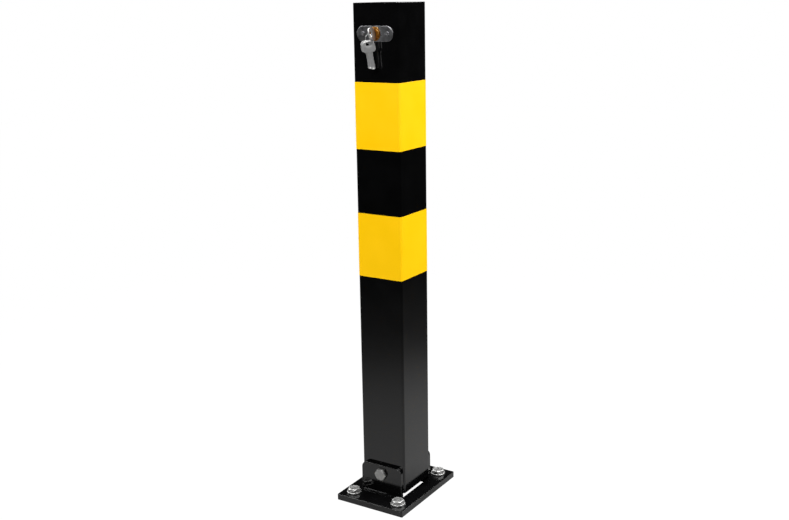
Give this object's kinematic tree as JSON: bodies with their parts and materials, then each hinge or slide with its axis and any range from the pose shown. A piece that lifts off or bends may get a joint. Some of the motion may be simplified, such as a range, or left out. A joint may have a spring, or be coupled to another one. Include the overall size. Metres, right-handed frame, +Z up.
{
  "type": "folding parking post",
  "caption": "Square fold-down parking post with yellow bands, bolted base plate with pivot ears, key lock and spare keys.",
  "frame": {"origin": "centre of the base plate's underside", "axes": "+Z up along the post, -Y towards the lock side, post folds down towards -X"},
  "size_m": [0.125, 0.17, 0.795],
  "materials": {
    "black_paint": "gloss powder coat",
    "yellow_film": "satin adhesive film",
    "zinc_plate": "bright zinc plate",
    "bare_steel": "oiled bare steel",
    "stainless": "satin stainless",
    "brass": "turned brass",
    "nickel": "satin nickel plate",
    "nylon": "natural nylon"
  },
  "bodies": {
    "base": {"base_plate": "black_paint", "front_ear": "black_paint", "rear_ear": "black_paint", "front_pivot_shim": "nylon", "rear_pivot_shim": "nylon", "pivot_bolt": "zinc_plate", "pivot_washer": "zinc_plate", "pivot_nut": "zinc_plate", "anchor_washer_front_left": "zinc_plate", "anchor_washer_front_right": "zinc_plate", "anchor_washer_rear_left": "zinc_plate", "anchor_washer_rear_right": "zinc_plate", "anchor_bolt_front_left": "zinc_plate", "anchor_bolt_front_right": "zinc_plate", "anchor_bolt_rear_left": "zinc_plate", "anchor_bolt_rear_right": "zinc_plate"},
    "post": {"post_tube": "black_paint", "post_cap": "black_paint", "upper_yellow_band": "yellow_film", "lower_yellow_band": "yellow_film", "pivot_sleeve": "bare_steel", "rod_guide_lower": "bare_steel", "rod_guide_middle": "bare_steel", "rod_guide_upper": "bare_steel", "lock_escutcheon": "stainless", "lock_screw_left": "stainless", "lock_screw_right": "stainless", "lock_housing": "brass", "lock_nut": "brass"},
    "plug": {"lock_plug": "brass", "lock_cam": "zinc_plate", "cam_pin": "bare_steel", "cam_screw": "zinc_plate"},
    "rod": {"lock_rod": "bare_steel", "rod_yoke": "bare_steel"},
    "key": {"key_in_lock": "nickel"},
    "ring": {"key_ring": "nickel"},
    "spare_1": {"spare_key_1": "nickel"},
    "spare_2": {"spare_key_2": "nickel"}
  },
  "joints": [
    {"name": "post_fold", "type": "hinge", "parent": "base", "child": "post", "pos_m": [0, 0, 0.045], "axis": [0, -1, 0], "range_deg": [0, 80]},
    {"name": "plug_turn", "type": "hinge", "parent": "post", "child": "plug", "pos_m": [0, -0.04, 0.75], "axis": [0, 1, 0], "range_deg": [0, 90]},
    {"name": "rod_slide", "type": "slide", "parent": "post", "child": "rod", "axis": [0, 0, -1], "range_m": [0, 0.01273]},
    {"name": "key_slide", "type": "slide", "parent": "plug", "child": "key", "axis": [0, -1, 0], "range_m": [0, 0.026]},
    {"name": "key_ring_swing", "type": "hinge", "parent": "key", "child": "ring", "pos_m": [0.00021, -0.054, 0.74882], "axis": [-0.9781, 0.2079, 0], "range_deg": [-3, 25]},
    {"name": "spare_key_1_swing", "type": "hinge", "parent": "ring", "child": "spare_1", "pos_m": [-0.00584, -0.05271, 0.73694], "axis": [-0.5299, 0.848, 0], "range_deg": [-6, 8]},
    {"name": "spare_key_2_swing", "type": "hinge", "parent": "ring", "child": "spare_2", "pos_m": [-0.0025, -0.05343, 0.73634], "axis": [-0.5299, 0.848, 0], "range_deg": [-2, 11]}
  ],
  "couplings": [
    {"joint": "plug_turn", "follows": "rod_slide", "rad_per_m": 123.41}
  ]
}
